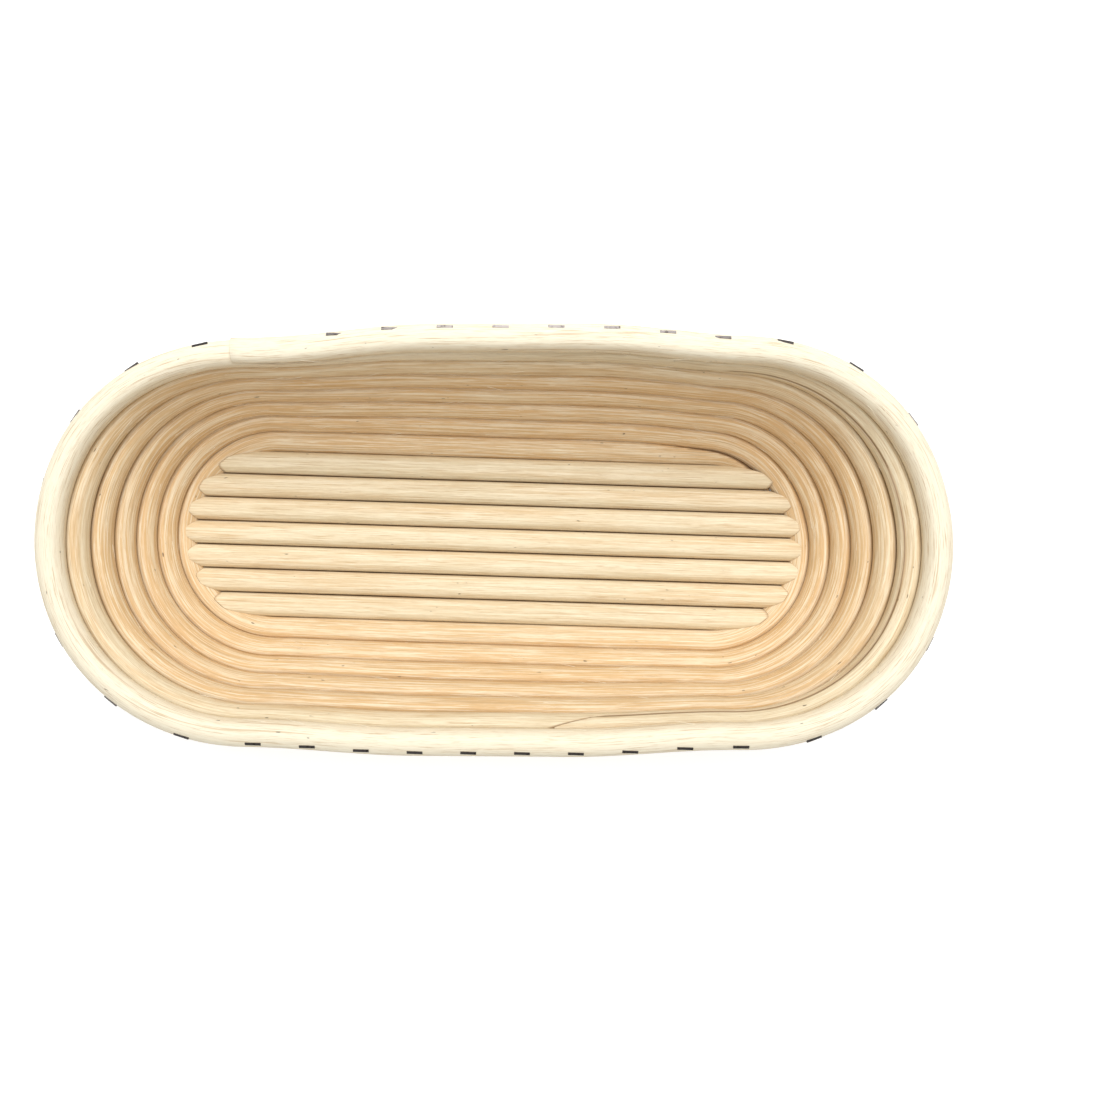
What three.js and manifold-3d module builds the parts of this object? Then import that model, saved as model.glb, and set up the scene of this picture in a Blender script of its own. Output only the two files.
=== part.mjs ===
// Oval banneton: a proofing basket for bread dough, coiled from rattan cane and stapled.
// X runs along the basket, Y across it and Z up. The origin is on the table, under the middle.
// Millimetres and degrees throughout.
import * as THREE from "three";
import { mergeVertices } from "three/addons/utils/BufferGeometryUtils.js";
import Module from "manifold-3d";

// Cane
const CANE_DIAMETER = 9.56;
const CANE_GAP = 0.3;
const CANE_PITCH = CANE_DIAMETER + CANE_GAP;
const CANE_RADIUS = CANE_DIAMETER / 2;

// Floor: straight canes side by side, sanded flat underneath so that the basket stands still
const FLOOR_CANES = 7;
const FLOOR_TWIST = -1.8;
const SANDED_FLAT = 4.0;
const TIP_BEVEL = 45;

// Plan of the first turn round the floor: two straight sides and two round ends
const FIRST_TURN_HALF_LENGTH = 128.8;
const FIRST_TURN_HALF_WIDTH = ((FLOOR_CANES + 1) / 2) * CANE_PITCH;
const END_CENTRE = FIRST_TURN_HALF_LENGTH - FIRST_TURN_HALF_WIDTH;
const END_QUARTER = 0.12;
const FIRST_TURN_LIFT = 0.075;

// Wall: the lean from the horizontal at which each turn sits on the one before it. The ends climb
// faster at first. Where a side meets an end the wall stands steeper, and so does the far side. The
// floor's twist goes out of the wall as it rises.
const LEAN_AT_SIDES = [28.5, 49.5, 56.5, 63.5, 65.5, 66, 84.5];
const LEAN_AT_ENDS = [52, 57, 60, 59.5, 57, 53, 82];
const CORNER_LEAN = 4.0;
const CORNER_REACH = 0.09;
const FAR_SIDE_LEAN = 2.0;
const UNTWIST_LEAN = 3.3;
const UNTWIST_FROM_TURN = 1.5;
const UNTWIST_TO_TURN = 2.5;

// Coil: one turn ends where the ramp carries it out on to the turn before
const RAMP_FROM = 0.015;
const RAMP_TO = 0.18;
const COIL_START = 0.06;
const COIL_END = 7.387;
const TAIL_FROM = 7.27;
const TAIL_DROP = 0.72;

// Long half-lap joint between the two lengths of wall cane
const LAP_FROM = 5.78;
const LAP_TO = 6.16;
const LAP_BEVEL = 0.03;
const LAP_NOSE = 1.0;

// Staples, of flat steel wire
const WIRE_WIDTH = 1.25;
const WIRE_THICKNESS = 1.0;
const STAPLE_CROWN = 5.7;
const STAPLE_CLEARANCE = 0.3;
const RIM_STAPLES = 34;
const RIM_STAPLES_FROM = 6.4;
const RIM_STAPLES_TO = 7.335;
const RIM_STAPLE_LEG = 15.5;
const RIM_SHOULDER_AT_SIDES = 54;
const RIM_SHOULDER_AT_ENDS = 2;
const CROWN_PROUD = 0.6;
const FLOOR_STAPLE_ROWS = [-58, 58];
const FLOOR_STAPLE_LEG = 7.0;
const FLOOR_STAPLE_INSET = 0.15;

// Facets
const COIL_SIDES = 10;
const FLOOR_SIDES = 16;
const STATIONS_PER_END = 7;
const STATIONS_PER_SIDE = 6;
const STATIONS_APART = 0.004;
const CUTTER_STEPS = 24;
const LEVEL_STEPS = 20;

const RATTAN = { color: 0xe3cfa0, roughness: 0.62, metalness: 0 };
const STEEL = { color: 0x8d8f92, roughness: 0.38, metalness: 1 };

const wasm = await Module();
wasm.setup();

const clamp = THREE.MathUtils.clamp;
const lerp = THREE.MathUtils.lerp;
const smooth = THREE.MathUtils.smoothstep;
const radians = THREE.MathUtils.degToRad;
const UP = new THREE.Vector3(0, 0, 1);

// Solids

function toSolid(geometry) {
  const bare = new THREE.BufferGeometry();
  bare.setAttribute("position", geometry.getAttribute("position"));
  bare.setIndex(geometry.getIndex());
  const merged = mergeVertices(bare, 1e-4);
  const vertProperties = Float32Array.from(merged.getAttribute("position").array);
  const triVerts = Uint32Array.from(merged.getIndex().array);
  return new wasm.Manifold(new wasm.Mesh({ numProp: 3, vertProperties, triVerts }));
}

function toGeometry(solid) {
  const cut = solid.getMesh();
  const geometry = new THREE.BufferGeometry();
  geometry.setAttribute("position", new THREE.BufferAttribute(cut.vertProperties, 3));
  geometry.setIndex(new THREE.BufferAttribute(cut.triVerts, 1));
  geometry.computeVertexNormals();
  return geometry;
}

// A closed skin over rings of points; every ring goes the same way round and is convex
function skin(rings) {
  const sides = rings[0].length;
  const index = [];
  for (let ring = 0; ring < rings.length - 1; ring++) {
    for (let side = 0; side < sides; side++) {
      const a = ring * sides + side;
      const b = ring * sides + ((side + 1) % sides);
      index.push(a, a + sides, b, b, a + sides, b + sides);
    }
  }
  const last = (rings.length - 1) * sides;
  for (let side = 1; side < sides - 1; side++) {
    index.push(0, side, side + 1, last, last + side + 1, last + side);
  }
  const geometry = new THREE.BufferGeometry().setFromPoints(rings.flat());
  geometry.setIndex(index);
  geometry.computeVertexNormals();
  return geometry;
}

// The coil's path

// Point and outward normal of the first turn, before the floor's twist; turn counts from the +X end
function planPoint(turn) {
  const half = (turn - Math.floor(turn)) % 0.5;
  const facing = turn - Math.floor(turn) < 0.5 ? 1 : -1;
  const point = new THREE.Vector3(0, FIRST_TURN_HALF_WIDTH, 0);
  const normal = new THREE.Vector3(0, 1, 0);
  if (half < END_QUARTER || half > 0.5 - END_QUARTER) {
    const end = half < END_QUARTER ? 1 : -1;
    const angle = end > 0 ? half / END_QUARTER : 2 - (0.5 - half) / END_QUARTER;
    normal.set(Math.cos((angle * Math.PI) / 2), Math.sin((angle * Math.PI) / 2), 0);
    point.copy(normal).multiplyScalar(FIRST_TURN_HALF_WIDTH);
    point.x += end * END_CENTRE;
  } else {
    point.x = END_CENTRE * (1 - (2 * (half - END_QUARTER)) / (0.5 - 2 * END_QUARTER));
  }
  return { point: point.multiplyScalar(facing), normal: normal.multiplyScalar(facing) };
}

// How many turns of wall lie under this place on the coil, counting from 1 on the table
function levelAt(turn) {
  let level = 1;
  for (let lap = 1; lap <= LEAN_AT_SIDES.length; lap++) {
    level += smooth(turn, lap + RAMP_FROM, lap + RAMP_TO);
  }
  return level - TAIL_DROP * smooth(turn, TAIL_FROM, COIL_END);
}

// Each listed lean holds half-way between two turns, and it changes evenly from one to the next
function leanBetween(leans, level) {
  const place = clamp(level - 1.5, -0.5, leans.length - 1);
  const below = clamp(Math.floor(place), 0, leans.length - 2);
  return lerp(leans[below], leans[below + 1], place - below);
}

function leanAt(level, turn) {
  const { point, normal } = planPoint(turn);
  const sides = leanBetween(LEAN_AT_SIDES, level);
  const ends = leanBetween(LEAN_AT_ENDS, level);
  const skew = (point.x * normal.y - point.y * normal.x) / END_CENTRE;
  const untwist = UNTWIST_LEAN * skew * smooth(level, UNTWIST_FROM_TURN, UNTWIST_TO_TURN);
  const half = (turn - Math.floor(turn)) % 0.5;
  const fromCorner = Math.min(Math.abs(half - END_QUARTER), Math.abs(0.5 - half - END_QUARTER));
  const corner = CORNER_LEAN * Math.cos((Math.PI / 2) * Math.min(1, fromCorner / CORNER_REACH)) ** 2;
  return radians(lerp(sides, ends, normal.x ** 2) + corner + FAR_SIDE_LEAN * normal.y - untwist);
}

// Centre of the cane and the directions of its section: up the wall, and square to it, inwards
function coilFrame(turn, level = levelAt(turn)) {
  const { point, normal } = planPoint(turn);
  const steps = Math.max(1, Math.ceil((level - 1) * LEVEL_STEPS));
  let run = 0;
  let rise = CANE_RADIUS + FIRST_TURN_LIFT;
  for (let step = 0; step < steps; step++) {
    const lean = leanAt(1 + ((step + 0.5) * (level - 1)) / steps, turn);
    run += (CANE_PITCH * Math.cos(lean) * (level - 1)) / steps;
    rise += (CANE_PITCH * Math.sin(lean) * (level - 1)) / steps;
  }
  const lean = leanAt(level, turn);
  const centre = point.addScaledVector(normal, run).setZ(rise);
  const alongWall = normal.clone().multiplyScalar(Math.cos(lean)).setZ(Math.sin(lean));
  const acrossWall = normal.clone().multiplyScalar(-Math.sin(lean)).setZ(Math.cos(lean));
  for (const vector of [centre, normal, alongWall, acrossWall]) {
    vector.applyAxisAngle(UP, radians(FLOOR_TWIST));
  }
  return { centre, normal, alongWall, acrossWall };
}

function stationsBetween(from, to) {
  const marks = [];
  for (let half = Math.floor(from * 2); half <= to * 2; half++) {
    for (let step = 0; step < 2 * STATIONS_PER_END; step++) {
      marks.push(half / 2 + END_QUARTER * (step / STATIONS_PER_END - 1));
    }
    for (let step = 0; step < STATIONS_PER_SIDE; step++) {
      marks.push(half / 2 + END_QUARTER + (0.5 - 2 * END_QUARTER) * (step / STATIONS_PER_SIDE));
    }
  }
  return [from, ...marks.filter((mark) => mark > from + STATIONS_APART && mark < to - STATIONS_APART), to];
}

// A round section, cut flat below "low" and above "high" in the direction up the wall
function caneSection(frame, low, high) {
  const highEdge = Math.acos(clamp(high / CANE_RADIUS, -1, 1));
  const lowEdge = Math.acos(clamp(-low / CANE_RADIUS, -1, 1));
  const ring = [];
  for (let side = 0; side < COIL_SIDES; side++) {
    const angle = (2 * Math.PI * (side + 0.5)) / COIL_SIDES - Math.PI;
    let along = CANE_RADIUS * Math.cos(angle);
    let across = CANE_RADIUS * Math.sin(angle);
    if (Math.abs(angle) < highEdge) {
      along = high;
      across = (CANE_RADIUS * Math.sin(highEdge) * angle) / highEdge;
    }
    const fromFoot = Math.PI - Math.abs(angle);
    if (fromFoot < lowEdge) {
      along = low;
      across = (CANE_RADIUS * Math.sin(lowEdge) * Math.sign(angle) * fromFoot) / lowEdge;
    }
    ring.push(
      frame.centre.clone().addScaledVector(frame.alongWall, along).addScaledVector(frame.acrossWall, across),
    );
  }
  return ring;
}

function spacing(turn) {
  return coilFrame(turn + 1).centre.distanceTo(coilFrame(turn).centre);
}

// Height of the lap joint's split in the section, from above the cane to below it
function lapSplit(turn) {
  const entering = (turn - LAP_FROM) / LAP_BEVEL;
  const leaving = (turn - LAP_TO) / LAP_BEVEL;
  return CANE_RADIUS * (1 - clamp(entering, 0, 1) - clamp(leaving + 1, 0, 1));
}

// The lower length starts as a wedge under the second turn and ends as the lap's under half
function lowerLimits(turn) {
  const room = turn < 1 ? spacing(turn) - CANE_RADIUS - CANE_GAP : CANE_RADIUS;
  return [-CANE_RADIUS, Math.min(CANE_RADIUS, room, lapSplit(turn) - CANE_GAP / 2)];
}

// The upper length starts as the lap's top half and ends as a tail shaved thin on the turn before
function upperLimits(turn) {
  const room = turn > TAIL_FROM ? CANE_RADIUS + CANE_GAP - spacing(turn - 1) : -CANE_RADIUS;
  return [Math.max(-CANE_RADIUS, room, lapSplit(turn) + CANE_GAP / 2), CANE_RADIUS];
}

function wallCane(from, to, limits, extraStations) {
  const stations = [...stationsBetween(from, to), ...extraStations].sort((a, b) => a - b);
  return skin(stations.map((turn) => caneSection(coilFrame(turn), ...limits(turn))));
}

// The floor

function floorCaneShape() {
  const outline = [];
  const flatEdge = Math.asin(SANDED_FLAT / 2 / CANE_RADIUS);
  for (let side = 0; side <= FLOOR_SIDES; side++) {
    const angle = lerp(flatEdge, 2 * Math.PI - flatEdge, side / FLOOR_SIDES) - Math.PI / 2;
    const point = new THREE.Vector2(CANE_RADIUS * Math.cos(angle), CANE_RADIUS * Math.sin(angle));
    outline.push(point);
  }
  return new THREE.Shape(outline);
}

const FLOOR_CENTRE = Math.sqrt(CANE_RADIUS ** 2 - (SANDED_FLAT / 2) ** 2);

// What the round ends take off the straight canes: everything past a slope that clears the first turn
function tipCutter(end) {
  const turnHeight = CANE_RADIUS + FIRST_TURN_LIFT;
  const slope = radians(TIP_BEVEL);
  const clear = CANE_RADIUS + CANE_GAP;
  const reach = 2 * CANE_DIAMETER;
  const edgeAt = (height) => FIRST_TURN_HALF_WIDTH - (clear - height * Math.sin(slope)) / Math.cos(slope);
  const profile = [
    [edgeAt(-CANE_DIAMETER), -CANE_DIAMETER],
    [FIRST_TURN_HALF_WIDTH + reach, -CANE_DIAMETER],
    [FIRST_TURN_HALF_WIDTH + reach, CANE_DIAMETER],
    [edgeAt(CANE_RADIUS), CANE_DIAMETER],
    [edgeAt(CANE_RADIUS), CANE_RADIUS],
  ];
  const rings = [];
  for (let step = 0; step <= CUTTER_STEPS; step++) {
    const angle = Math.PI * (step / CUTTER_STEPS - 0.5);
    rings.push(
      profile.map(
        ([radius, height]) =>
          new THREE.Vector3(
            end * (END_CENTRE + radius * Math.cos(angle)),
            end * radius * Math.sin(angle),
            turnHeight + height,
          ),
      ),
    );
  }
  return toSolid(skin(rings));
}

function floorCane(number) {
  const length = 2 * FIRST_TURN_HALF_LENGTH;
  const geometry = new THREE.ExtrudeGeometry(floorCaneShape(), { depth: length, bevelEnabled: false });
  geometry.translate(0, 0, -length / 2);
  geometry.rotateX(Math.PI / 2);
  geometry.rotateZ(Math.PI / 2);
  geometry.translate(0, ((FLOOR_CANES + 1) / 2 - number) * CANE_PITCH, FLOOR_CENTRE);
  return toSolid(geometry).subtract(tipCutter(1)).subtract(tipCutter(-1));
}

// Staples: the crown lies along X and the legs point down

function stapleGeometry(leg, grow) {
  const outside = STAPLE_CROWN / 2 + grow;
  const inside = STAPLE_CROWN / 2 - WIRE_WIDTH - grow;
  const shape = new THREE.Shape();
  shape.moveTo(-outside, grow);
  shape.lineTo(-outside, -leg - grow);
  shape.lineTo(-inside, -leg - grow);
  shape.lineTo(-inside, -WIRE_THICKNESS - grow);
  shape.lineTo(inside, -WIRE_THICKNESS - grow);
  shape.lineTo(inside, -leg - grow);
  shape.lineTo(outside, -leg - grow);
  shape.lineTo(outside, grow);
  const depth = WIRE_THICKNESS + 2 * grow;
  const geometry = new THREE.ExtrudeGeometry(shape, { depth, bevelEnabled: false });
  geometry.translate(0, 0, -depth / 2);
  return geometry.rotateX(Math.PI / 2);
}

function placeStaple(name, leg, position, crownAlong, legsAlong) {
  const staple = new THREE.Mesh(stapleGeometry(leg, 0), new THREE.MeshStandardMaterial(STEEL));
  const z = legsAlong.clone().negate().normalize();
  const x = crownAlong.clone().addScaledVector(z, -crownAlong.dot(z)).normalize();
  const y = z.clone().cross(x);
  staple.name = name;
  staple.quaternion.setFromRotationMatrix(new THREE.Matrix4().makeBasis(x, y, z));
  staple.position.copy(position);
  staple.updateMatrix();
  return { staple, slot: toSolid(stapleGeometry(leg, STAPLE_CLEARANCE).applyMatrix4(staple.matrix)) };
}

// On the rim each staple goes in at the outer shoulder, lower at the ends, and down into the turn below
function rimStaple(number) {
  const turn = lerp(RIM_STAPLES_FROM, RIM_STAPLES_TO, (number - 1) / (RIM_STAPLES - 1));
  const { centre, normal } = coilFrame(turn);
  const shoulder = radians(lerp(RIM_SHOULDER_AT_SIDES, RIM_SHOULDER_AT_ENDS, Math.abs(normal.x)));
  const entry = centre.clone().addScaledVector(normal, CANE_RADIUS * Math.cos(shoulder));
  entry.addScaledVector(UP, CANE_RADIUS * Math.sin(shoulder));
  const legsAlong = coilFrame(turn - 1).centre.sub(entry).normalize();
  const position = entry.addScaledVector(legsAlong, -CROWN_PROUD);
  const name = `rim_staple_${number}`;
  return placeStaple(name, RIM_STAPLE_LEG, position, UP.clone().cross(normal), legsAlong);
}

// Under the floor each staple bridges two neighbouring canes
function floorStaple(row, joint) {
  const y = ((FLOOR_CANES + 1) / 2 - joint - 0.5) * CANE_PITCH;
  const twist = radians(FLOOR_TWIST);
  const position = new THREE.Vector3(FLOOR_STAPLE_ROWS[row], y, FLOOR_STAPLE_INSET);
  const crown = new THREE.Vector3(0, 1, 0).applyAxisAngle(UP, twist);
  position.applyAxisAngle(UP, twist);
  const name = `floor_staple_${row + 1}_${joint + 1}`;
  return placeStaple(name, FLOOR_STAPLE_LEG, position, crown, UP);
}

// The basket

function caneMesh(name, solid) {
  const mesh = new THREE.Mesh(toGeometry(solid), new THREE.MeshStandardMaterial(RATTAN));
  mesh.name = name;
  return mesh;
}

function makeBasket() {
  const rimStaples = Array.from({ length: RIM_STAPLES }, (_, index) => rimStaple(index + 1));
  const floorStaples = FLOOR_STAPLE_ROWS.flatMap((_, row) =>
    Array.from({ length: FLOOR_CANES + 1 }, (__, joint) => floorStaple(row, joint)),
  );
  const slots = (staples) => staples.map(({ slot }) => slot).reduce((all, slot) => all.add(slot));
  const rimSlots = slots(rimStaples);
  const floorSlots = slots(floorStaples);

  const basket = new THREE.Group();
  for (let number = 1; number <= FLOOR_CANES; number++) {
    const cane = floorCane(number).rotate([0, 0, FLOOR_TWIST]);
    basket.add(caneMesh(`floor_cane_${number}`, cane.subtract(floorSlots)));
  }
  const lapEnd = LAP_BEVEL * (1 - LAP_NOSE / CANE_RADIUS);
  const lowerTo = LAP_TO - LAP_BEVEL + lapEnd;
  const upperFrom = LAP_FROM + LAP_BEVEL - lapEnd;
  const lapCorners = [LAP_FROM + LAP_BEVEL, LAP_TO - LAP_BEVEL];
  const lower = wallCane(COIL_START, lowerTo, lowerLimits, [LAP_FROM, ...lapCorners]);
  const upper = wallCane(upperFrom, COIL_END, upperLimits, [...lapCorners, LAP_TO]);
  basket.add(caneMesh("wall_cane_lower", toSolid(lower).subtract(rimSlots).subtract(floorSlots)));
  basket.add(caneMesh("wall_cane_upper", toSolid(upper).subtract(rimSlots)));
  for (const { staple } of [...rimStaples, ...floorStaples]) {
    basket.add(staple);
  }
  return basket;
}

// Stands the basket on the table with the origin under the middle of its outline
function centred(basket) {
  basket.updateMatrixWorld(true);
  const box = new THREE.Box3().setFromObject(basket, true);
  basket.position.set(-(box.min.x + box.max.x) / 2, -(box.min.y + box.max.y) / 2, -box.min.z);
  return basket;
}

export default centred(makeBasket());
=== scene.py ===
# %% [markdown]
# An oval banneton: the basket in which bread dough proves. One long rattan cane is coiled round a floor
# of straight canes and stapled to itself turn by turn. The imported frame already holds every piece at its
# true size and place, with coarse facets. This notebook gives each piece its fine surface and finish.
#
# The frame comes first, and its box is kept.

# %% Load the frame
import math

import bmesh
import bpy
import numpy as np
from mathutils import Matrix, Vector


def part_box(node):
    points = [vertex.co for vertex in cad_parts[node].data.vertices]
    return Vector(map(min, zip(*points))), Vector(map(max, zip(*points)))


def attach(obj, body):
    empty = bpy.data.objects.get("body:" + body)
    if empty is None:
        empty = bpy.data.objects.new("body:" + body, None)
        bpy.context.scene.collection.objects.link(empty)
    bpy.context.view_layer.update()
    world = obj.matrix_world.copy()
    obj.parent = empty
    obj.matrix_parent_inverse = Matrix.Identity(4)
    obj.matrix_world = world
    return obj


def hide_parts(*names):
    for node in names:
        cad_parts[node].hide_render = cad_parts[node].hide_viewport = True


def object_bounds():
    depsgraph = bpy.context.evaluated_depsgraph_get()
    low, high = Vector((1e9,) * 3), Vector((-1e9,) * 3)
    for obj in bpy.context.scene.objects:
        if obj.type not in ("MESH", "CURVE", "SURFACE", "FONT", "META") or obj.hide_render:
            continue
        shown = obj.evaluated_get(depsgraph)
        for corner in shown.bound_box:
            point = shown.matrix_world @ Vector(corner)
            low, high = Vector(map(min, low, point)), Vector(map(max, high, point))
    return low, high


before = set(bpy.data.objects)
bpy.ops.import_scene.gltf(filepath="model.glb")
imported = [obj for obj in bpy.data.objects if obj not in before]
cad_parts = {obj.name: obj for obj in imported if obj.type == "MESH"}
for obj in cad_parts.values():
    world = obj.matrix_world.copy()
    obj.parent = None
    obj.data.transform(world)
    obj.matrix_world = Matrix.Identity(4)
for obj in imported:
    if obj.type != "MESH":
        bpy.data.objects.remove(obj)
CAD_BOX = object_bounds()
MM = 0.001
cad_sides = [round(side / MM, 1) for side in CAD_BOX[1] - CAD_BOX[0]]
print("frame:", len(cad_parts), "nodes, box", cad_sides, "mm")

# %% [markdown]
# Camera, floor and light. The basket is looked at from straight above and from near by, so the walls open
# out towards the lens. A wide lens close to the rim does that, and a longer lens further away would not.
# The camera looks straight down and the sensor is shifted a little to frame the basket off the middle:
# tilting the camera instead would bend the oval.

# %% Camera
CAMERA_HEIGHT = 379 * MM
CAMERA_PLACE = (-0.7 * MM, 1.2 * MM)
SENSOR_WIDTH = 36.0
FOCAL_LENGTH = 29.27
SHIFT_RIGHT = 0.0534
SHIFT_UP = -0.0088


def make_camera():
    camera = bpy.data.objects.new("camera", bpy.data.cameras.new("camera"))
    camera.data.sensor_width = SENSOR_WIDTH
    camera.data.lens = FOCAL_LENGTH
    camera.data.shift_x = SHIFT_RIGHT
    camera.data.shift_y = SHIFT_UP
    camera.location = (*CAMERA_PLACE, CAMERA_HEIGHT)
    bpy.context.scene.collection.objects.link(camera)
    bpy.context.scene.camera = camera
    return camera


print("camera at", [round(x / MM, 1) for x in make_camera().location], "mm")

# %% [markdown]
# Shader maths. A material is a graph of nodes, and a graph written node by node is hard to read. Here a
# socket is wrapped in a small class, so that 1 - mask or fibre * 0.3 adds its Math node by itself. Colours
# would turn grey in a Math node, so they go through Mix, and vectors through Vector Math.

# %% Sockets as values


class Field:
    """One output socket of a material, used as a value in an expression."""

    def __init__(self, tree, socket):
        self.tree = tree
        self.socket = socket

    def node(self, kind, settings, sockets, output=0):
        """Adds a node: its settings first, then the values or links of its sockets."""
        made = self.tree.nodes.new(kind)
        for name, value in settings.items():
            setattr(made, name, value)
        for name, value in sockets.items():
            if isinstance(value, Field):
                self.tree.links.new(value.socket, made.inputs[name])
            else:
                made.inputs[name].default_value = value
        return Field(self.tree, made.outputs[output])

    def math(self, operation, first, second):
        return self.node("ShaderNodeMath", {"operation": operation}, {0: first, 1: second})

    def __add__(self, other):
        return self.math("ADD", self, other)

    def __radd__(self, other):
        return self.math("ADD", other, self)

    def __sub__(self, other):
        return self.math("SUBTRACT", self, other)

    def __rsub__(self, other):
        return self.math("SUBTRACT", other, self)

    def __mul__(self, other):
        return self.math("MULTIPLY", self, other)

    def __rmul__(self, other):
        return self.math("MULTIPLY", other, self)

    def stretched(self, along, across):
        """Grain coordinates, scaled lengthwise and across, in steps per metre."""
        settings = {"operation": "MULTIPLY"}
        return self.node("ShaderNodeVectorMath", settings, {0: self, 1: (along, across, across)})

    def noise(self, detail=2.0, roughness=0.5, distortion=0.0):
        sockets = {"Vector": self, "Scale": 1.0, "Detail": detail, "Roughness": roughness}
        return self.node("ShaderNodeTexNoise", {}, {**sockets, "Distortion": distortion})

    def between(self, low, high):
        """0 below low, 1 above high, and smooth between them. low may be the higher of the two."""
        settings = {"interpolation_type": "SMOOTHSTEP"}
        return self.node("ShaderNodeMapRange", settings, {"Value": self, "From Min": low, "From Max": high})

    def mix(self, first, second):
        """One colour where this value is 0 and the other where it is 1."""
        return self.node("ShaderNodeMix", {"data_type": "RGBA"}, {0: self, 6: first, 7: second}, output=2)


def attribute(tree, name, output=2):
    read = tree.nodes.new("ShaderNodeAttribute")
    read.attribute_name = name
    return Field(tree, read.outputs[output])


def new_material(name):
    material = bpy.data.materials.new(name)
    material.use_nodes = True
    return material, material.node_tree, material.node_tree.nodes["Principled BSDF"]


print("Field operators ready")

# %% [markdown]
# The light is a bright, almost shadowless studio: a dim white sky all round, a wide softbox overhead, and
# one lamp beyond the far side. The sky alone would light the walls as brightly as the floor. The softbox
# lights the floor most, and the lamp makes the near wall, which faces it, brighter than the far one. The
# studio floor glows, so that the shadow on it stays faint, but not under the basket's foot: there the glow
# would leak up between the canes and turn their dark seams grey.

# %% Light and floor
SKY_COLOR = (1.0, 1.0, 1.0, 1.0)
SKY_STRENGTH = 0.25
SOFTBOX_PLACE = (0.0, 0.0, 1.25)
SOFTBOX_SIZE = 1.3
SOFTBOX_POWER = 11.7
KEY_PLACE = (0.08, 0.76, 1.0)
KEY_SIZE = 0.6
KEY_POWER = 9.5
FLOOR_SIZE = 6.0
FLOOR_GLOW = 0.40
FOOT_CENTRE = 89 * MM
FOOT_RADIUS = 38 * MM
FOOT_EDGE = 3 * MM
FLOOR_WHITE = (0.80, 0.80, 0.80, 1)


def make_sky():
    world = bpy.data.worlds.new("studio")
    world.use_nodes = True
    background = world.node_tree.nodes["Background"]
    background.inputs["Color"].default_value = SKY_COLOR
    background.inputs["Strength"].default_value = SKY_STRENGTH
    bpy.context.scene.world = world


def make_lamp(name, place, size, power):
    data = bpy.data.lights.new(name, "AREA")
    data.shape = "DISK"
    data.size = size
    data.energy = power
    lamp = bpy.data.objects.new(name, data)
    lamp.location = place
    lamp.rotation_euler = (-Vector(place)).to_track_quat("-Z", "Y").to_euler()
    bpy.context.scene.collection.objects.link(lamp)
    return lamp


def make_floor():
    mesh = bpy.data.meshes.new("studio_floor")
    half = FLOOR_SIZE / 2
    corners = [(-half, -half, 0), (half, -half, 0), (half, half, 0), (-half, half, 0)]
    mesh.from_pydata(corners, [], [(0, 1, 2, 3)])
    floor = bpy.data.objects.new("studio_floor", mesh)
    mesh.materials.append(glowing_floor())
    bpy.context.scene.collection.objects.link(floor)


def glowing_floor():
    """White, and lit from below everywhere but under the basket's foot."""
    material, tree, shader = new_material("white_floor")
    place = Field(tree, tree.nodes.new("ShaderNodeTexCoord").outputs["Object"])
    x, y = (place.node("ShaderNodeSeparateXYZ", {}, {0: place}, output=axis) for axis in (0, 1))
    past_centre = x.math("MAXIMUM", x.math("ABSOLUTE", x, 0) - FOOT_CENTRE, 0)
    lit = (past_centre * past_centre + y * y).between((FOOT_RADIUS - FOOT_EDGE) ** 2, FOOT_RADIUS**2)
    shader.inputs["Base Color"].default_value = FLOOR_WHITE
    shader.inputs["Roughness"].default_value = 0.9
    shader.inputs["Specular IOR Level"].default_value = 0.1
    tree.links.new(lit.mix((0, 0, 0, 1), (1, 1, 1, 1)).socket, shader.inputs["Emission Color"])
    shader.inputs["Emission Strength"].default_value = FLOOR_GLOW
    return material


make_sky()
make_lamp("softbox", SOFTBOX_PLACE, SOFTBOX_SIZE, SOFTBOX_POWER)
make_lamp("key", KEY_PLACE, KEY_SIZE, KEY_POWER)
make_floor()
bpy.context.scene.view_settings.view_transform = "Standard"
print("light: sky", SKY_STRENGTH, "softbox", SOFTBOX_POWER, "W, key", KEY_POWER, "W")

# %% [markdown]
# The coil's path. The frame's coarse canes follow a path that a few dimensions describe: the oval of the
# first turn, the lean at which each turn sits on the one before, and the ramp by which one turn climbs on
# to the next. Reading the path back out of the coarse mesh would carry its facets along. Working it out
# again from the same dimensions gives a smooth path of any fineness, so these numbers repeat the design's.

# %% Driving dimensions
CANE_RADIUS = 4.78 * MM
CANE_PITCH = 9.86 * MM
FLOOR_CANES = 7
FLOOR_TWIST = math.radians(-1.8)
SANDED_FLAT = 4.0 * MM
TIP_LIP = 1.0 * MM
FIRST_TURN_HALF_LENGTH = 128.8 * MM
FIRST_TURN_HALF_WIDTH = (FLOOR_CANES + 1) / 2 * CANE_PITCH
END_CENTRE = FIRST_TURN_HALF_LENGTH - FIRST_TURN_HALF_WIDTH
END_QUARTER = 0.12
FIRST_TURN_LIFT = 0.075 * MM
LEAN_AT_SIDES = np.array([28.5, 49.5, 56.5, 63.5, 65.5, 66, 84.5])
LEAN_AT_ENDS = np.array([52, 57, 60, 59.5, 57, 53, 82])
CORNER_LEAN = 4.0
CORNER_REACH = 0.09
FAR_SIDE_LEAN = 2.0
UNTWIST_LEAN = 3.3
UNTWIST_TURNS = (1.5, 2.5)
RAMP = (0.015, 0.18)
COIL_START = 0.06
COIL_END = 7.387
TAIL_FROM = 7.27
TAIL_DROP = 0.72
LAP_FROM = 5.78
LAP_TO = 6.16
LAP_BEVEL = 0.03
LAP_NOSE = 1.0 * MM

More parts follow.
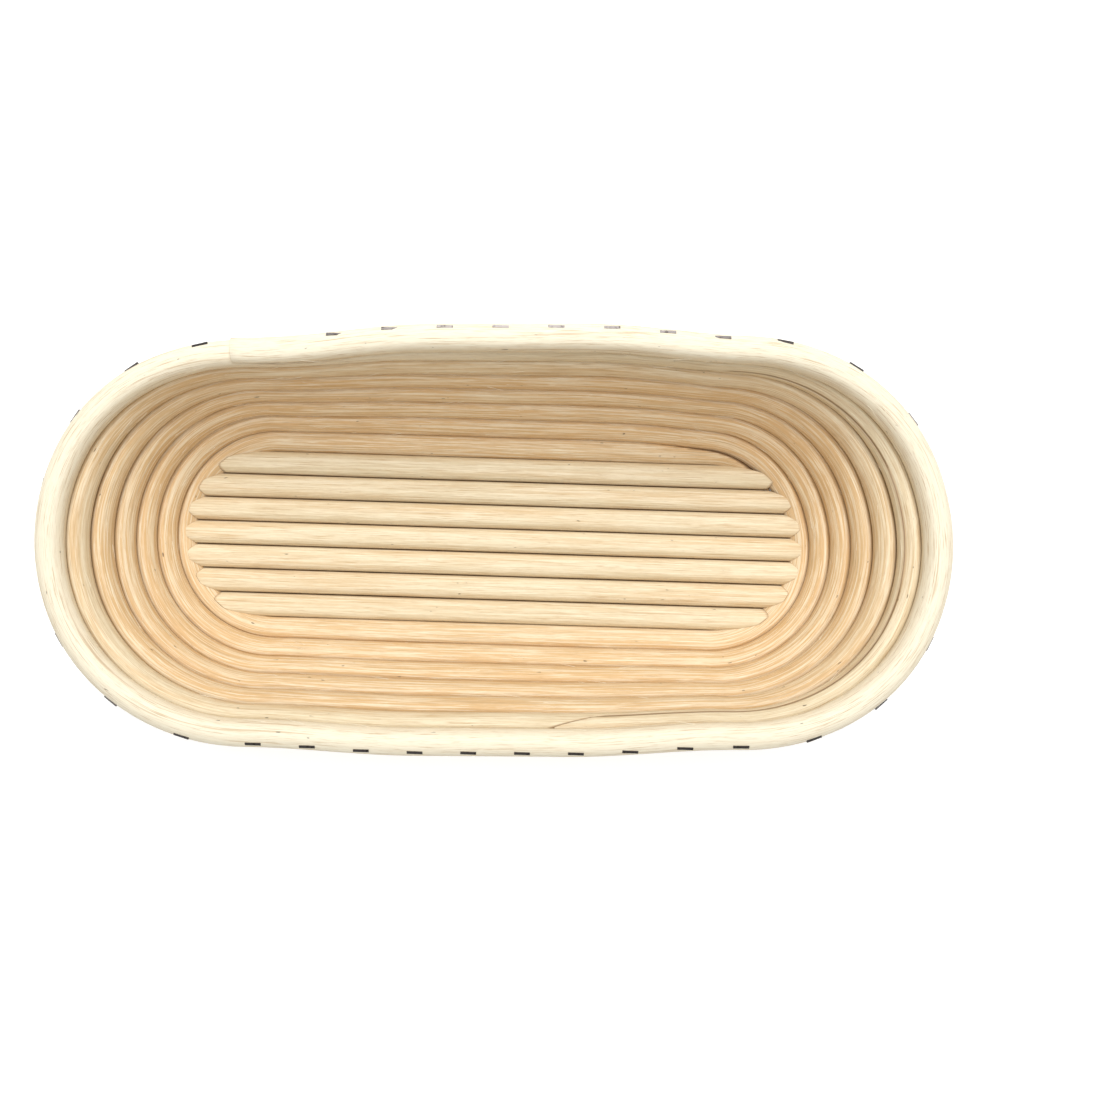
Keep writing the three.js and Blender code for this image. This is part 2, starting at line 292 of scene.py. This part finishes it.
PLAN_ORIGIN = sum(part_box("floor_cane_4"), Vector()) / 2
print("plan origin", [round(x / MM, 2) for x in PLAN_ORIGIN[:2]], "mm")

# %% The path as functions of the turn


def smooth(value, low, high):
    part = np.clip((value - low) / (high - low), 0, 1)
    return part * part * (3 - 2 * part)


def plan_point(turn):
    """Points and outward normals of the first turn, before the floor's twist. Turns count from the +X end."""
    whole = turn % 1
    facing = np.where(whole < 0.5, 1.0, -1.0)
    half = whole % 0.5
    near = half < END_QUARTER
    far = half > 0.5 - END_QUARTER
    past_side = np.where(far, 2 - (0.5 - half) / END_QUARTER, 1.0)
    angle = np.where(near, half / END_QUARTER, past_side) * math.pi / 2
    normal = np.stack([np.cos(angle), np.sin(angle)], axis=-1)
    along_side = 1 - 2 * (half - END_QUARTER) / (0.5 - 2 * END_QUARTER)
    middle = END_CENTRE * np.where(near, 1.0, np.where(far, -1.0, along_side))
    point = normal * FIRST_TURN_HALF_WIDTH
    point[..., 0] += middle
    return point * facing[..., None], normal * facing[..., None], half


def level_at(turn):
    """How many turns of wall lie under this place on the coil, counting from 1 on the table."""
    laps = sum(smooth(turn, lap + RAMP[0], lap + RAMP[1]) for lap in range(1, len(LEAN_AT_SIDES) + 1))
    return 1 + laps - TAIL_DROP * smooth(turn, TAIL_FROM, COIL_END)


def lean_between(leans, level):
    place = np.clip(level - 1.5, -0.5, len(leans) - 1)
    below = np.clip(np.floor(place).astype(int), 0, len(leans) - 2)
    return leans[below] + (leans[below + 1] - leans[below]) * (place - below)


def lean_at(level, turn):
    point, normal, half = plan_point(turn)
    share = normal[..., 0] ** 2
    lean = lean_between(LEAN_AT_SIDES, level) * (1 - share) + lean_between(LEAN_AT_ENDS, level) * share
    skew = (point[..., 0] * normal[..., 1] - point[..., 1] * normal[..., 0]) / END_CENTRE
    from_corner = np.minimum(abs(half - END_QUARTER), abs(0.5 - half - END_QUARTER))
    corner = np.cos(math.pi / 2 * np.minimum(1, from_corner / CORNER_REACH)) ** 2
    untwist = UNTWIST_LEAN * skew * smooth(level, *UNTWIST_TURNS)
    return np.radians(lean + CORNER_LEAN * corner + FAR_SIDE_LEAN * normal[..., 1] - untwist)


def rotate_plan(vectors):
    """Turns vectors about Z by the floor's twist."""
    turned = vectors.copy()
    turned[..., 0] = vectors[..., 0] * math.cos(FLOOR_TWIST) - vectors[..., 1] * math.sin(FLOOR_TWIST)
    turned[..., 1] = vectors[..., 0] * math.sin(FLOOR_TWIST) + vectors[..., 1] * math.cos(FLOOR_TWIST)
    return turned


LEVEL_STEPS = 80


def coil_frame(turn):
    """Centres of the cane, and its section's directions: outwards, up the wall, square to the wall."""
    turn = np.asarray(turn, float)
    level = level_at(turn)
    point, normal, _ = plan_point(turn)
    step = (level - 1) / LEVEL_STEPS
    leans = [lean_at(1 + (index + 0.5) * step, turn) for index in range(LEVEL_STEPS)]
    run = CANE_PITCH * step * sum(np.cos(lean) for lean in leans)
    rise = CANE_PITCH * step * sum(np.sin(lean) for lean in leans)
    lean = lean_at(level, turn)
    plan = point + normal * run[..., None]
    centre = np.concatenate([plan, (CANE_RADIUS + FIRST_TURN_LIFT + rise)[..., None]], axis=-1)
    outward = np.concatenate([normal, np.zeros_like(rise)[..., None]], axis=-1)
    up = np.array([0.0, 0.0, 1.0])
    along_wall = outward * np.cos(lean)[..., None] + up * np.sin(lean)[..., None]
    across_wall = -outward * np.sin(lean)[..., None] + up * np.cos(lean)[..., None]
    centre = rotate_plan(centre)
    centre[..., :2] += PLAN_ORIGIN[:2]
    return centre, rotate_plan(outward), rotate_plan(along_wall), rotate_plan(across_wall)


def spacing(turn):
    """Distance from the cane's centre to the centre of the turn above it."""
    return np.linalg.norm(coil_frame(turn + 1)[0] - coil_frame(turn)[0], axis=-1)


RIM = coil_frame(np.linspace(COIL_END - 1, COIL_END, 200))[0]
print("rim from", (RIM.min(0) / MM).round(1), "to", (RIM.max(0) / MM).round(1), "mm")

# %% [markdown]
# Irregularity. Cane is a plant: it is never quite round, its thickness wanders, and the gap to its
# neighbour opens and closes. Random numbers for every point would look like gravel. A sum of a few long
# waves with seeded phases wanders slowly, as the cane does, and gives the same basket at every run.

# %% Slow waves
SEED = 11


def wander(distance, wavelengths, random):
    """A slow wave between about -1 and 1 along a cane, from a few wavelengths in metres."""
    waves = [np.sin(2 * math.pi * (distance / length + random.random())) for length in wavelengths]
    return sum(waves) / len(waves)


sample = wander(np.array([0, 0.1, 0.2]), [0.31, 0.17], np.random.default_rng(SEED))
print("wander:", sample.round(2))

# %% [markdown]
# A cane's mesh. Each cane is a tube of many-sided sections, so it could be a curve with a bevel. A curve
# can't cut its section flat, though, and the wedge, the lap joint and the shaved tail all need that. So the
# rings are worked out here and joined by quads. Every point also keeps its place in the straightened cane,
# as an attribute called grain, and a material that reads it runs its fibres along the cane round any bend.

# %% Tube from rings


def placed(mesh):
    """An object of the mesh's own name, in the scene."""
    made = bpy.data.objects.new(mesh.name, mesh)
    bpy.context.scene.collection.objects.link(made)
    return made


def cane_object(name, rings, grain, marks):
    """Joins rings of points (stations x sides x 3) into a closed tube. marks is {attribute name: values}."""
    stations, sides = rings.shape[:2]
    index = np.arange(stations * sides).reshape(stations, sides)
    beside = np.roll(index, -1, axis=1)
    quads = np.stack([index[:-1], beside[:-1], beside[1:], index[1:]], axis=-1).reshape(-1, 4)
    faces = quads.tolist() + [index[0][::-1].tolist(), index[-1].tolist()]
    mesh = bpy.data.meshes.new(name)
    mesh.from_pydata(rings.reshape(-1, 3).tolist(), [], faces)
    places = mesh.attributes.new("grain", "FLOAT_VECTOR", "POINT")
    places.data.foreach_set("vector", grain.astype("f").ravel())
    for mark, values in marks.items():
        marked = mesh.attributes.new(mark, "FLOAT", "POINT")
        marked.data.foreach_set("value", values.astype("f").ravel())
    tidy = bmesh.new()
    tidy.from_mesh(mesh)
    bmesh.ops.recalc_face_normals(tidy, faces=tidy.faces)
    tidy.to_mesh(mesh)
    tidy.free()
    mesh.shade_smooth()
    return placed(mesh)


print("tube maker ready")

# %% [markdown]
# Peeled cane. What the eye reads as rattan is many fine fibres along the cane, in pale straw with a few
# tan and brown threads and small dark pits. Where two canes meet, a browner line is painted in as shade,
# the dark of the crevice between them. Each of these is a mask from noise that is stretched along the
# grain, and the colour is mixed mask by mask. One painted picture could not follow five metres of coil
# without a seam.

# %% Rattan material
STRAW = (0.71, 0.60, 0.405, 1)
CREAM = (0.86, 0.77, 0.58, 1)
PEACH = (0.66, 0.44, 0.22, 1)
PALE = (0.90, 0.835, 0.67, 1)
TAN = (0.50, 0.33, 0.165, 1)
# Painted shade: the brown of the seams between canes and of the lines over their cut faces.
SHADE_BROWN = (0.22, 0.10, 0.04, 1)
PIT = (0.10, 0.065, 0.04, 1)
END_GRAIN = (0.62, 0.46, 0.26, 1)


def make_rattan(name):
    material, tree, shader = new_material(name)
    grain = attribute(tree, "grain", output=1)
    seam_shade = attribute(tree, "seam_shade")
    tone = attribute(tree, "tone")
    cut = attribute(tree, "cut")

    broad = grain.stretched(8, 160).noise(detail=3)
    streaks = grain.stretched(26, 1250).noise(detail=4, roughness=0.65)
    fibres = grain.stretched(60, 2600).noise(detail=3, roughness=0.65)
    threads = grain.stretched(170, 5200).noise(detail=2, roughness=0.6)
    stains = grain.stretched(16, 900).noise(detail=3, roughness=0.6, distortion=0.1)
    pits = grain.stretched(240, 900).noise(detail=1)

    warm = (broad.between(0.36, 0.66) * 0.5 + tone).between(0.1, 1.2)
    color = warm.mix(STRAW, PEACH)
    color = (tone.between(-0.3, -1.0) * 0.85).mix(color, PALE)
    color = (streaks.between(0.44, 0.60) * 0.55).mix(color, CREAM)
    color = (fibres.between(0.46, 0.30) * 0.75).mix(color, TAN)
    color = (fibres.between(0.56, 0.66) * 0.7).mix(color, CREAM)
    color = (threads.between(0.52, 0.72) * 0.4).mix(color, TAN)
    color = (stains.between(0.61, 0.69) * 0.55).mix(color, TAN)
    color = (cut * 0.7).mix(color, END_GRAIN)
    # Painted shade: a brown line in the seams between canes and over cut faces, where shade falls, broken up
    # a little by the fibres.
    color = (seam_shade * (0.60 + fibres.between(0.30, 0.60) * 0.35)).mix(color, SHADE_BROWN)
    color = (pits.between(0.775, 0.81) * 0.75).mix(color, PIT)
    tree.links.new(color.socket, shader.inputs["Base Color"])

    rough = 0.66 - fibres * 0.12
    tree.links.new(rough.socket, shader.inputs["Roughness"])
    shader.inputs["Specular IOR Level"].default_value = 0.28

    height = fibres * 0.8 + threads * 0.5 + streaks * 0.9 - pits.between(0.75, 0.80) * 1.2
    bump_sockets = {"Height": height, "Strength": 0.7, "Distance": 0.14 * MM}
    bump = height.node("ShaderNodeBump", {}, bump_sockets)
    tree.links.new(bump.socket, shader.inputs["Normal"])
    return material


RATTAN = make_rattan("peeled_rattan")
print("material:", RATTAN.name, len(RATTAN.node_tree.nodes), "nodes")

# %% [markdown]
# The floor. Seven straight canes lie side by side, sanded flat underneath. They are made a little square,
# so that they meet in narrow seams. Their tips are cut on a slope that is undercut to hug the round of the
# first turn, so from above each tip ends in a D. A boolean cut with that turn would shape the tips, and
# leave long thin faces. Here every line along the cane simply runs on until it meets the turn, and stops
# at the lip that lies on top of it.

# %% Floor canes
FINE_RADIUS = 4.95 * MM
CANE_SIDES = 40
FLOOR_STATIONS = 70
TIP_ROUNDING = ((0.0, 1.0, 0.0), (0.55, 1.0, 0.0), (0.90, 1.0, 0.0), (0.965, 0.99, 0.5), (1.0, 0.96, 1.0))
CAP_SCALES = (0.80, 0.55, 0.30, 0.08)
GROOVES = ((7, 0.0035), (11, 0.0030), (13, 0.0025))
GROOVE_TURN = 1.5
GROOVE_WAVES = (0.12, 0.27)
OVALNESS = 0.008
OVAL_TURN = 2.2
OVAL_WAVES = (0.35, 0.21)
SQUARENESS = 0.045
FLOOR_CROWN = 1.14
CROWN_LIMIT = 0.95
FLOOR_THINNING = 0.007
FLOOR_WAVES = (0.09, 0.05)
FLOOR_CENTRE = math.sqrt(CANE_RADIUS**2 - (SANDED_FLAT / 2) ** 2)
WIDEST_TIP = 3.4 * CANE_PITCH
TIP_ROOM = 3 * MM
# Painted shade: it lies in the seams beside the neighbouring floor canes, and over the cut tips as a dark
# outline.
FLOOR_SEAM_SHADE = (0.90, 0.985)
CUT_EDGE_SHADE = 0.8
FLOOR_TONES = (-0.1, 0.15)


def grooved(radius, angle, distance, random):
    """The section's radius: a little square, a little oval, with shallow grooves that turn slowly."""
    shape = 1 + SQUARENESS * np.sin(2 * angle) ** 2
    shape = shape + OVALNESS * np.cos(2 * angle + OVAL_TURN * wander(distance, OVAL_WAVES, random))
    for count, depth in GROOVES:
        turned = count * angle + GROOVE_TURN * wander(distance, GROOVE_WAVES, random)
        shape = shape + depth * np.cos(turned)
    return radius * shape


def tip_reach(y, z):
    """How far from the end's centre the undercut tip is, along the cane, at a place in its section."""
    height = np.maximum(z - CANE_RADIUS - FIRST_TURN_LIFT, 0)
    round_side = np.sqrt(np.maximum(FINE_RADIUS**2 - height**2, TIP_LIP**2))
    return np.sqrt(np.maximum((FIRST_TURN_HALF_WIDTH - round_side) ** 2 - y**2, 0))


def floor_section(number, x, scale):
    """One section of a floor cane about its own centre: y and z of every side."""
    angle = np.arange(CANE_SIDES) / CANE_SIDES * 2 * math.pi
    radius = grooved(FINE_RADIUS, angle, x, np.random.default_rng(SEED + number)) * scale
    thin = 1 - FLOOR_THINNING * (1 + wander(x, FLOOR_WAVES, np.random.default_rng(SEED + number)))
    crest = FLOOR_CROWN * CROWN_LIMIT * FINE_RADIUS * scale
    z = np.clip(FLOOR_CROWN * radius * np.sin(angle), -FLOOR_CENTRE, crest)
    return radius * thin * np.cos(angle), z


def floor_tip(number, row, side, body):
    """The rings of one end: x, y, z, and how far each ring belongs to the cut."""
    made = []
    for part, scale, cut in TIP_ROUNDING + tuple((1.0, scale, 1.0) for scale in CAP_SCALES):
        y, z = floor_section(number, side * body, scale)
        reach = END_CENTRE + tip_reach(y + row, z + FLOOR_CENTRE)
        made.append((side * (body + part * (reach - body)), y, z, cut))
    return made if side > 0 else made[::-1]


def floor_rings(number, row):
    body = END_CENTRE + float(tip_reach(min(abs(row) + FINE_RADIUS, WIDEST_TIP), 0)) - TIP_ROOM
    middle = np.linspace(-body, body, FLOOR_STATIONS)[1:-1]
    rings = floor_tip(number, row, -1, body)
    rings += [(x, *floor_section(number, x, 1.0), 0.0) for x in middle]
    rings += floor_tip(number, row, 1, body)
    return (np.stack([np.broadcast_to(value, CANE_SIDES) for value in values]) for values in zip(*rings))


def floor_cane(number):
    row = ((FLOOR_CANES + 1) / 2 - number) * CANE_PITCH
    x, y, z, cut = floor_rings(number, row)
    points = rotate_plan(np.stack([x, y + row, z + FLOOR_CENTRE], axis=-1))
    points[..., :2] += PLAN_ORIGIN[:2]
    grain = np.stack([x + number, y, z], axis=-1)
    # The seam mark is painted shade, darkest beside the neighbouring canes and over the cut tips.
    beside = smooth(abs(y) / FINE_RADIUS, *FLOOR_SEAM_SHADE)
    marks = {
        "seam_shade": np.maximum(beside, CUT_EDGE_SHADE * cut) * (z > -FLOOR_CENTRE),
        "tone": np.full(x.shape, np.random.default_rng(SEED + number).uniform(*FLOOR_TONES)),
        "cut": np.maximum(cut, smooth(-z, FLOOR_CENTRE * 0.995, FLOOR_CENTRE)),
    }
    cane = cane_object(f"fine_floor_cane_{number}", points, grain, marks)
    cane.data.materials.append(RATTAN)
    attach(cane, "root")
    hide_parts(f"floor_cane_{number}")
    return cane


for number in range(1, FLOOR_CANES + 1):
    cane = floor_cane(number)
print("floor canes:", FLOOR_CANES, "of", len(cane.data.vertices), "points")

# %% [markdown]
# The wall. Two lengths of cane make the coil. The first starts as a wedge between the floor and the second
# turn, and ends as the under half of a long lap joint; the second starts as the lap's upper half and ends
# at the rim as a tail shaved thin. All four ends are flat cuts across the section at a height that changes
# along the cane, so one function that cuts a round section flat makes them all.

# %% Wall canes
STATION_STEP = 0.004
COIL_GAP = CANE_PITCH - 2 * FINE_RADIUS
SPLIT_GAP = 0.12 * MM
COIL_CAPS = ((0.965, 0.10), (0.90, 0.16), (0.60, 0.18), (0.30, 0.18), (0.06, 0.18))
UNCUT = 1.1 * FINE_RADIUS
WALL_THINNING = 0.008
WALL_WAVES = (0.43, 0.19, 0.083)
# Painted shade: how far from the seam with the next turn the painted shade begins and ends.
WALL_SEAM_SHADE = (0.91, 0.99)
FLAT_CUT = 0.6
GRAIN_START = 10
FOOT_TONE = 0.95
TONE_FALLS = ((0.8, 4.3, 6.0), (1.1, 6.0, 6.38))
TONE_WANDER = 0.2
TONE_WAVES = (1.9, 0.9, 0.5)


def lap_split(turn):
    """Height of the lap joint's split in the section, from above the cane to below it."""
    entering = np.clip((turn - LAP_FROM) / LAP_BEVEL, 0, 1)
    leaving = np.clip((turn - LAP_TO) / LAP_BEVEL + 1, 0, 1)
    return FINE_RADIUS * (1 - entering - leaving)


def lower_limits(turn):
    room = np.where(turn < 1, spacing(turn) - FINE_RADIUS - COIL_GAP, UNCUT)
    high = np.minimum(room, np.where(turn > LAP_FROM, lap_split(turn) - SPLIT_GAP / 2, UNCUT))
    return np.full_like(turn, -UNCUT), high


def upper_limits(turn):
    room = np.where(turn > TAIL_FROM, FINE_RADIUS + COIL_GAP - spacing(turn - 1), -UNCUT)
    low = np.maximum(room, np.where(turn < LAP_TO, lap_split(turn) + SPLIT_GAP / 2, -UNCUT))
    return low, np.full_like(turn, UNCUT)


def cut_section(radius, angle, low, high):
    """Round sections, cut flat below low and above high in the direction up the wall."""
    along = radius * np.cos(angle)
    across = radius * np.sin(angle)
    over = along > high
    under = along < low
    for beyond, limit in ((over, high), (under, low)):
        limit = np.broadcast_to(limit, along.shape)
        width = np.sqrt(np.maximum(radius**2 - limit**2, 0))
        across = np.where(beyond, np.clip(across, -width, width), across)
        along = np.where(beyond, limit, along)
    return along, across, over | under


def wall_marks(turn, distance, along, flat, random):
    """Painted shade in the seams beside the neighbouring turns and over the flat cuts, a tone that pales
    towards the rim, and the flat cuts' end grain.
    """
    above = along / FINE_RADIUS * (turn < COIL_END - 1)[:, None]
    below = -along / FINE_RADIUS * (turn > 1)[:, None]
    # Painted shade beside the turns above and below, and over the flat cuts where they lie against the next
    # cane.
    seam_shade = np.where(flat, CUT_EDGE_SHADE, smooth(np.maximum(above, below), *WALL_SEAM_SHADE))
    tone = FOOT_TONE - sum(fall * smooth(turn, low, high) for fall, low, high in TONE_FALLS)
    tone = tone[:, None] + TONE_WANDER * wander(distance, TONE_WAVES, random)
    return {"seam_shade": seam_shade, "tone": np.broadcast_to(tone, along.shape), "cut": FLAT_CUT * flat}


def wall_cane(name, start, end, limits, seed):
    random = np.random.default_rng(seed)
    turn = np.linspace(start, end, round((end - start) / STATION_STEP))
    centre, _, along_wall, across_wall = coil_frame(turn)
    step = np.linalg.norm(np.diff(centre, axis=0), axis=1)
    distance = np.concatenate([[0], np.cumsum(step)])[:, None]
    angle = (np.arange(CANE_SIDES) / CANE_SIDES * 2 * math.pi)[None, :]
    thin = 1 - WALL_THINNING * (1 + wander(distance, WALL_WAVES, random))
    radius = grooved(FINE_RADIUS, angle, distance, random) * thin
    low, high = limits(turn)
    along, across, flat = cut_section(radius, angle, low[:, None], high[:, None])
    rings = centre[:, None] + along_wall[:, None] * along[..., None]
    rings = rings + across_wall[:, None] * across[..., None]
    rings[..., 2] = np.maximum(rings[..., 2], 0)
    lengthwise = np.broadcast_to(distance, along.shape) + GRAIN_START + seed
    grain = np.stack([lengthwise, along, across], axis=-1)
    marks = wall_marks(turn, distance, along, flat, random)
    cane = cane_object(name, *capped(rings, grain, marks))
    cane.data.materials.append(RATTAN)
    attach(cane, "root")
    return cane


def joined(values, caps, end):
    """Adds an end's cap rows before the first row or after the last one, the smallest outermost."""
    caps = np.array(caps)
    return np.concatenate([caps[::-1], values] if end == 0 else [values, caps])


def capped(rings, grain, marks):
    """Adds shrinking rings over both ends, so that each end is a flat face with a rounded edge."""
    for end, inside in ((0, 1), (-1, -2)):
        middle = rings[end].mean(axis=0)
        outward = middle - rings[inside].mean(axis=0)
        outward = outward / np.linalg.norm(outward)
        heart = grain[end].mean(axis=0)
        caps = [middle + (rings[end] - middle) * scale + outward * proud * MM for scale, proud in COIL_CAPS]
        cap_grain = [heart + (grain[end] - heart) * scale for scale, _ in COIL_CAPS]
        still = np.zeros(rings.shape[1])
        cap_marks = {"seam_shade": still, "tone": marks["tone"][end], "cut": still + 1}
        rings = joined(rings, caps, end)
        grain = joined(grain, cap_grain, end)
        marks = {mark: joined(marks[mark], [row] * len(COIL_CAPS), end) for mark, row in cap_marks.items()}
    return rings, grain, marks


LAP_END = LAP_BEVEL * (1 - LAP_NOSE / FINE_RADIUS)
lower = wall_cane("fine_wall_cane_lower", COIL_START, LAP_TO - LAP_BEVEL + LAP_END, lower_limits, 1)
upper = wall_cane("fine_wall_cane_upper", LAP_FROM + LAP_BEVEL - LAP_END, COIL_END, upper_limits, 2)
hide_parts("wall_cane_lower")
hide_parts("wall_cane_upper")
print("wall canes:", len(lower.data.vertices), "and", len(upper.data.vertices), "points")

# %% [markdown]
# Staples. They are bent from dull, slightly flattened steel wire. The frame's staples have the right
# shape and place, with knife-sharp edges, which no drawn wire has. So those pieces stay, with a bevel
# modifier that rounds each edge and a dark steel with tarnish spots. The steel's dark colour is partly
# painted shade, standing in for the shade in the slots that the staples sit in.

# %% Steel
# Painted shade: the steel is darkened partly for the shade in the staples' slots; the darker spots are
# tarnish.
SLOT_SHADED_STEEL = (0.15, 0.135, 0.13, 1)
TARNISH = (0.05, 0.036, 0.026, 1)
WIRE_EDGE = 0.22 * MM
EDGE_STEPS = 3


def make_steel():
    material, tree, shader = new_material("staple_wire")
    place = Field(tree, tree.nodes.new("ShaderNodeTexCoord").outputs["Object"])
    spots = place.stretched(900, 900).noise(detail=3)
    scratches = place.stretched(6000, 6000).noise(detail=1)
    tarnish = spots.between(0.50, 0.68) * 0.7
    tree.links.new(tarnish.mix(SLOT_SHADED_STEEL, TARNISH).socket, shader.inputs["Base Color"])
    tree.links.new((0.30 + tarnish * 0.3 + scratches * 0.1).socket, shader.inputs["Roughness"])
    shader.inputs["Metallic"].default_value = 1.0
    return material


def round_edges(staple):
    bevel = staple.modifiers.new("rounded_wire", "BEVEL")
    bevel.width = WIRE_EDGE
    bevel.segments = EDGE_STEPS


STEEL = make_steel()
STAPLES = [node for name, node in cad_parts.items() if "staple" in name]
for staple in STAPLES:
    staple.data.materials.clear()
    staple.data.materials.append(STEEL)
    round_edges(staple)
print("staples:", len(STAPLES), "with edges rounded to", WIRE_EDGE / MM, "mm")

# %% [markdown]
# Staples down the outside. Each turn was stapled to the one before it as it was coiled, from the outside,
# where the dough never touches them. The frame leaves them out, because the wall is one solid there. Only
# their crowns show, so each is a short round-edged bar lying along its cane, and a turn's are one object.

# %% Outer staples
CROWN_LENGTH = 5.7 * MM
CROWN_WIDTH = 1.25 * MM
CROWN_THICK = 0.9 * MM
STAPLES_APART = 25.0 * MM
CROWN_SIZE = (CROWN_LENGTH, CROWN_WIDTH, CROWN_THICK)
SHOULDER = math.radians(24)
UNEVENNESS = 0.2
BELOW_RIM = 1.05
SMALL_TURN = 0.001
STAPLED_TURNS = range(1, 7)
STAPLE_SEED = SEED + 50


def bar(middle, along, outward, size):
    """Corners and faces of one bar; size is its length, width and thickness."""
    across = np.cross(outward, along)
    axes = np.array([along, across, outward]) * np.array(size)[:, None] / 2
    signs = np.array([[x, y, z] for x in (-1, 1) for y in (-1, 1) for z in (-1, 1)])
    faces = np.array([[0, 1, 3, 2], [4, 6, 7, 5], [0, 4, 5, 1], [2, 3, 7, 6], [0, 2, 6, 4], [1, 5, 7, 3]])
    return middle + signs @ axes, faces


def unit(vectors):
    return vectors / np.linalg.norm(vectors, axis=-1, keepdims=True)


def ahead_of(turn, centre):
    """The direction in which the cane runs on."""
    return unit(coil_frame(turn + SMALL_TURN)[0] - centre)


def crown_places(lap, random):
    """The middles of one turn's crowns, their directions along the cane, and the ways they face."""
    first = max(lap, COIL_START + 1)
    last = min(lap + 1, COIL_END - BELOW_RIM)
    steps = np.diff(coil_frame(np.linspace(first, last, 100))[0], axis=0)
    count = round(np.linalg.norm(steps, axis=1).sum() / STAPLES_APART)
    shares = (np.arange(count) + 0.5 + random.uniform(-UNEVENNESS, UNEVENNESS, count)) / count
    turn = first + shares * (last - first)
    centre, outward, _, _ = coil_frame(turn)
    ahead = ahead_of(turn, centre)
    facing = outward * math.cos(SHOULDER) - np.array([0, 0, math.sin(SHOULDER)])
    facing = unit(facing - ahead * (facing * ahead).sum(axis=-1, keepdims=True))
    return zip(centre + facing * FINE_RADIUS, ahead, facing)


def outer_staples(lap, random):
    corners, faces = [], []
    for place, (middle, ahead, facing) in enumerate(crown_places(lap, random)):
        made, quads = bar(middle, ahead, facing, CROWN_SIZE)
        faces.extend((quads + place * len(made)).tolist())
        corners.append(made)
    mesh = bpy.data.meshes.new(f"outer_staples_{lap}")
    mesh.from_pydata(np.concatenate(corners).tolist(), [], faces)
    mesh.materials.append(STEEL)
    staples = placed(mesh)
    round_edges(staples)
    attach(staples, "root")
    return len(corners)


staple_random = np.random.default_rng(STAPLE_SEED)
print("outer staples:", sum(outer_staples(lap, staple_random) for lap in STAPLED_TURNS))

# %% [markdown]
# Loose fibres. Peeled cane sheds fine hairs, most of all along the seams and cut edges. Hair particles
# don't travel to other programs, so each hair is a thin three-sided spike, bent a little, and all of them
# are one object. They start just inside the cane's skin, so no hair floats.

# %% Frayed fibres
HAIRS = 170
HAIR_WIDTH = 0.16 * MM
HAIR_STEPS = 5
HAIR_SIDES = 3
HAIR_LENGTHS = (3 * MM, 10 * MM)
HAIR_LIFT = 0.16
HAIR_TAPER = 0.75
HAIR_BEND = 0.25
SHORT_OF_END = 0.02
UPPER_SIDE = (0.15, 0.85)
FIBRE_SEED = SEED + 60


def hair(root, direction, lift, length, bend):
    """One tapering spike from root, lying along direction and lifting off its cane."""
    side = np.cross(direction, lift)
    rings = []
    for part in np.linspace(0, 1, HAIR_STEPS):
        middle = root + (direction + lift * HAIR_LIFT) * length * part + side * bend * part**2
        width = HAIR_WIDTH / 2 * (1 - HAIR_TAPER * part)
        angles = np.arange(HAIR_SIDES) * 2 * math.pi / HAIR_SIDES
        rings.append([middle + width * (lift * math.cos(a) + side * math.sin(a)) for a in angles])
    return np.array(rings).reshape(-1, 3)


def hair_faces(start):
    """The faces of the spike whose first point is start: its sides, then its two ends."""
    faces = []
    for step in range(HAIR_STEPS - 1):
        low = start + step * HAIR_SIDES
        high = low + HAIR_SIDES
        for side in range(HAIR_SIDES):
            beside = (side + 1) % HAIR_SIDES
            faces.append([low + side, low + beside, high + beside, high + side])
    tip = start + (HAIR_STEPS - 1) * HAIR_SIDES
    return faces + [[start + 2, start + 1, start], [tip, tip + 1, tip + 2]]


def frayed_fibres(random):
    turn = random.uniform(COIL_START + 1, COIL_END - SHORT_OF_END, HAIRS)
    centre, _, along_wall, across_wall = coil_frame(turn)
    ahead = ahead_of(turn, centre) * random.choice([-1, 1], (HAIRS, 1))
    angle = random.uniform(*UPPER_SIDE, (HAIRS, 1)) * math.pi
    lift = along_wall * np.cos(angle) + across_wall * np.sin(angle)
    root = centre + lift * (FINE_RADIUS - HAIR_WIDTH)
    length = random.uniform(*HAIR_LENGTHS, HAIRS)
    bend = random.uniform(-HAIR_BEND, HAIR_BEND, HAIRS) * length
    points = [hair(*place) for place in zip(root, ahead, lift, length, bend)]
    faces = sum((hair_faces(number * HAIR_STEPS * HAIR_SIDES) for number in range(HAIRS)), [])
    mesh = bpy.data.meshes.new("frayed_fibres")
    mesh.from_pydata(np.concatenate(points).tolist(), [], faces)
    mesh.materials.append(HAIR)
    fibres = placed(mesh)
    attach(fibres, "root")
    return fibres


HAIR, _, hair_shader = new_material("loose_fibre")
hair_shader.inputs["Base Color"].default_value = PALE
hair_shader.inputs["Roughness"].default_value = 0.6
fibres = frayed_fibres(np.random.default_rng(FIBRE_SEED))
print("frayed fibres:", len(fibres.data.vertices), "points")
